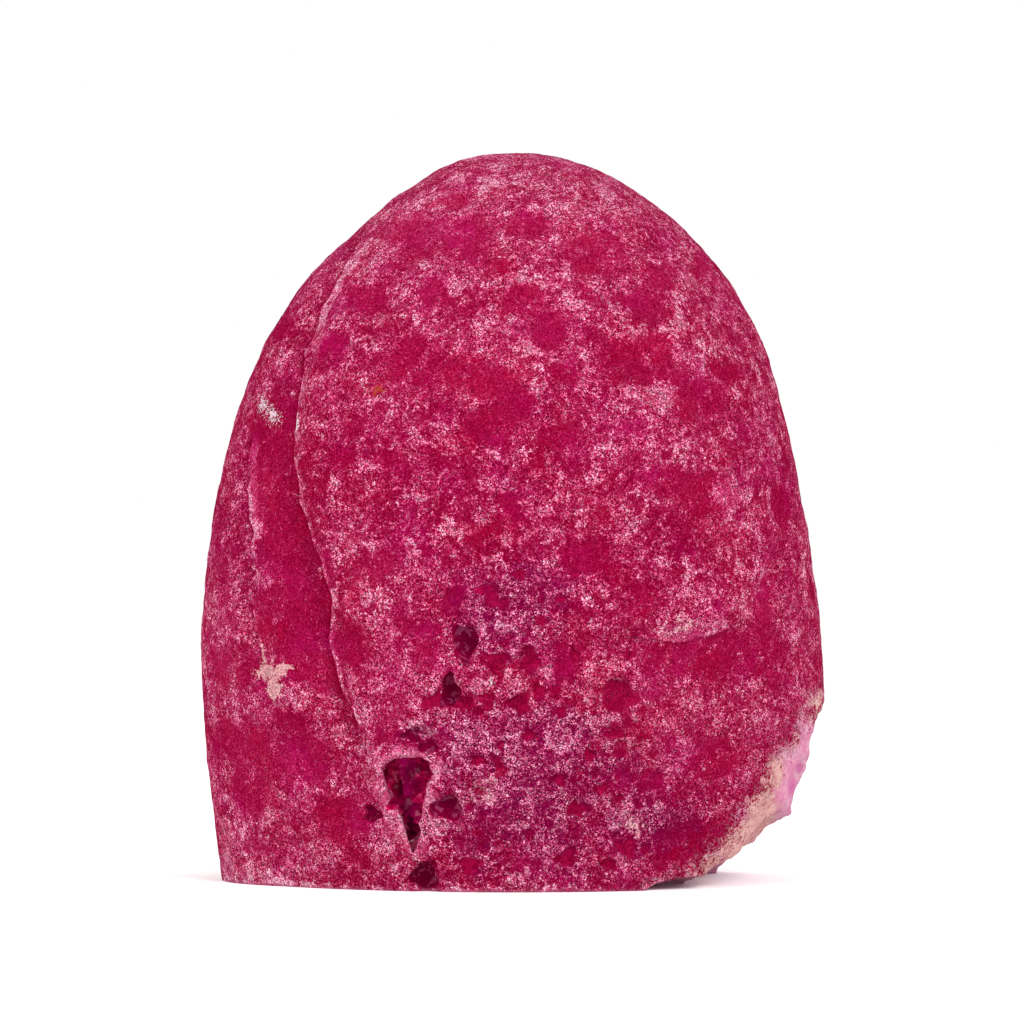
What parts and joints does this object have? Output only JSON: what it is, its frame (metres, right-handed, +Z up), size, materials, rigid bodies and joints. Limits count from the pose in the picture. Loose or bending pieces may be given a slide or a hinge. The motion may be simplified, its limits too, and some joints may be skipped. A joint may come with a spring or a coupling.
{
  "type": "agate specimen",
  "caption": "Dyed agate nodule standing on a sawn base, with dimpled rind, a small open vug, a broken lower corner and a polished back face.",
  "frame": {"origin": "middle of the stone's footprint box, on the sawn base that it stands on", "axes": "+Z up, -Y out of the dimpled rind that faces the viewer, +X to the viewer's right, +Y out of the polished face"},
  "size_m": [0.1028, 0.0602, 0.12],
  "materials": {
    "agate": "matte weathered rind dyed rose, glassy where broken, polished on the sawn back face"
  },
  "bodies": {
    "root": {"agate": "agate"}
  },
  "joints": []
}
